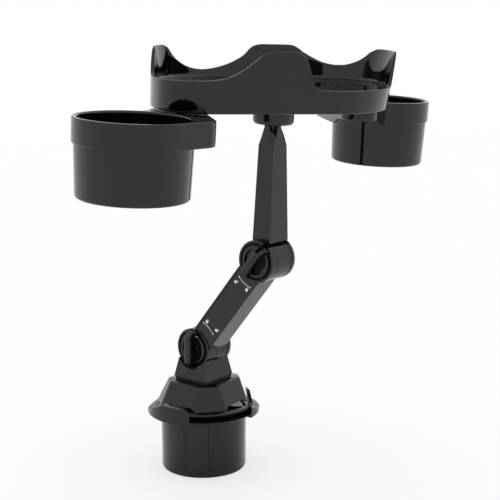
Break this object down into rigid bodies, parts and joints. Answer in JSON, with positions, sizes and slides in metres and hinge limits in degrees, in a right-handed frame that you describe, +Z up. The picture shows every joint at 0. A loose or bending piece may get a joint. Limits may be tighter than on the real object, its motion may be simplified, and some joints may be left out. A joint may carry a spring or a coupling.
{
  "type": "car cup holder expander with tray",
  "caption": "Expanding cup-holder foot with a two-joint folding arm that carries a scalloped swivel tray and swing-out cup rings on both sides",
  "frame": {"origin": "Axis of the cup-shaped foot at its flat underside", "axes": "+Z up along the foot's axis, X along the tray's length, -Y towards the tray's front"},
  "size_m": [0.3588, 0.2194, 0.3543],
  "materials": {
    "black_gloss_plastic": "polished black moulded ABS",
    "zinc_plated_steel": "zinc plated"
  },
  "bodies": {
    "base": {"base_cup": "black_gloss_plastic", "base_skirt": "black_gloss_plastic", "skirt_screw": "zinc_plated_steel", "swivel_pin": "zinc_plated_steel"},
    "collar": {"twist_collar": "black_gloss_plastic", "cam_drum": "black_gloss_plastic"},
    "pad_a": {"expansion_pad_a": "black_gloss_plastic"},
    "pad_b": {"expansion_pad_b": "black_gloss_plastic"},
    "pad_c": {"expansion_pad_c": "black_gloss_plastic"},
    "turret": {"pyramid_mount": "black_gloss_plastic", "lower_cap": "black_gloss_plastic", "lower_nut": "zinc_plated_steel", "lower_washer": "zinc_plated_steel"},
    "lower_lock": {"lower_knob": "black_gloss_plastic", "lower_bolt": "zinc_plated_steel"},
    "link": {"lower_link": "black_gloss_plastic", "upper_cap": "black_gloss_plastic", "upper_nut": "zinc_plated_steel", "upper_washer": "zinc_plated_steel"},
    "upper_lock": {"upper_knob": "black_gloss_plastic", "upper_bolt": "zinc_plated_steel"},
    "column": {"upper_arm": "black_gloss_plastic", "swivel_hub": "black_gloss_plastic", "tray_screw": "zinc_plated_steel"},
    "tray_body": {"tray": "black_gloss_plastic", "tray_washer": "zinc_plated_steel", "left_pivot_screw": "zinc_plated_steel", "right_pivot_screw": "zinc_plated_steel"},
    "left_cup": {"left_cup_holder": "black_gloss_plastic", "left_pivot_washer": "zinc_plated_steel"},
    "right_cup": {"right_cup_holder": "black_gloss_plastic", "right_pivot_washer": "zinc_plated_steel"}
  },
  "joints": [
    {"name": "collar_twist", "type": "hinge", "parent": "base", "child": "collar", "pos_m": [0, 0, 0.0499], "axis": [0, 0, 1], "range_deg": [0, 75]},
    {"name": "pad_a_slide", "type": "slide", "parent": "base", "child": "pad_a", "axis": [-0.5505, -0.8348, 0], "range_m": [0, 0.006]},
    {"name": "pad_b_slide", "type": "slide", "parent": "base", "child": "pad_b", "axis": [0.9982, -0.0593, 0], "range_m": [0, 0.006]},
    {"name": "pad_c_slide", "type": "slide", "parent": "base", "child": "pad_c", "axis": [-0.4478, 0.8942, 0], "range_m": [0, 0.006]},
    {"name": "base_swivel", "type": "hinge", "parent": "base", "child": "turret", "pos_m": [0, 0, 0.0768], "axis": [0, 0, 1], "continuous": true},
    {"name": "lower_tilt", "type": "hinge", "parent": "turret", "child": "link", "pos_m": [0, 0, 0.1045], "axis": [0.898, 0.4399, 0], "range_deg": [-69, 36]},
    {"name": "lower_knob_turn", "type": "hinge", "parent": "turret", "child": "lower_lock", "pos_m": [0, 0, 0.1045], "axis": [0.898, 0.4399, 0], "range_deg": [0, 70]},
    {"name": "upper_tilt", "type": "hinge", "parent": "link", "child": "column", "pos_m": [0.02917, -0.05955, 0.1863], "axis": [0.898, 0.4399, 0], "range_deg": [-60, 60]},
    {"name": "upper_knob_turn", "type": "hinge", "parent": "link", "child": "upper_lock", "pos_m": [0.02917, -0.05955, 0.1863], "axis": [0.898, 0.4399, 0], "range_deg": [0, 70]},
    {"name": "tray_swivel", "type": "hinge", "parent": "column", "child": "tray_body", "pos_m": [0.03211, -0.06555, 0.29349], "axis": [0.0274, -0.0559, 0.9981], "continuous": true},
    {"name": "left_cup_swing", "type": "hinge", "parent": "tray_body", "child": "left_cup", "pos_m": [-0.05009, -0.07686, 0.3087], "axis": [0.0274, -0.0559, 0.9981], "range_deg": [-60, 88]},
    {"name": "right_cup_swing", "type": "hinge", "parent": "tray_body", "child": "right_cup", "pos_m": [0.11506, -0.05577, 0.30535], "axis": [0.0274, -0.0559, 0.9981], "range_deg": [-60, 88]}
  ],
  "couplings": [
    {"joint": "pad_a_slide", "follows": "collar_twist", "m_per_rad": 0.004576},
    {"joint": "pad_b_slide", "follows": "collar_twist", "m_per_rad": 0.004576},
    {"joint": "pad_c_slide", "follows": "collar_twist", "m_per_rad": 0.004576}
  ]
}
